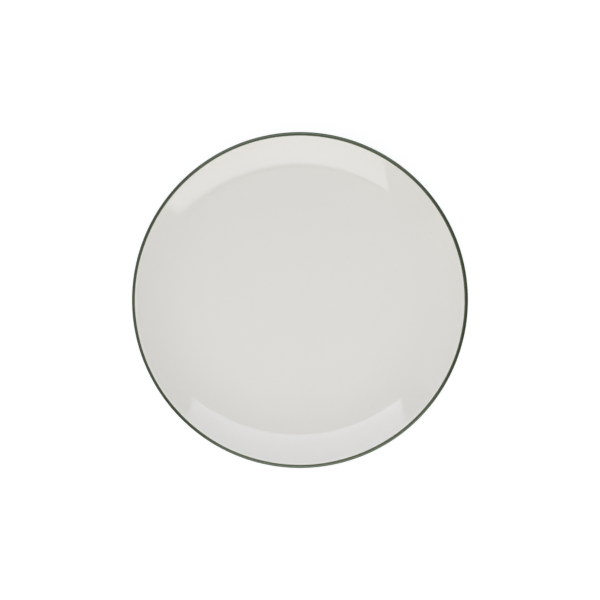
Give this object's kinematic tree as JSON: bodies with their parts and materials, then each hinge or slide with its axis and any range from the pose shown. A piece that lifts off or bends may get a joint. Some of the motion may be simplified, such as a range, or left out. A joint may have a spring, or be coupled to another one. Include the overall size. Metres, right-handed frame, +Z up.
{
  "type": "dinner plate",
  "caption": "Round coupe dinner plate: flat well, curved wall and rounded lip, gloss white inside with a satin green band on the lip and a green outside, on a bare foot ring.",
  "frame": {"origin": "middle of the circle that the foot ring rests on", "axes": "+Z up along the axis that the plate was turned about; +X and +Y are alike, because the plate is round"},
  "size_m": [0.267, 0.267, 0.0266],
  "materials": {
    "bare_clay": "matte",
    "white_glaze": "gloss",
    "green_band": "satin",
    "green_glaze": "satin"
  },
  "bodies": {
    "root": {"clay_body": "bare_clay", "inside_glaze": "white_glaze", "rim_band": "green_band", "outside_glaze": "green_glaze", "base_glaze": "green_glaze"}
  },
  "joints": []
}
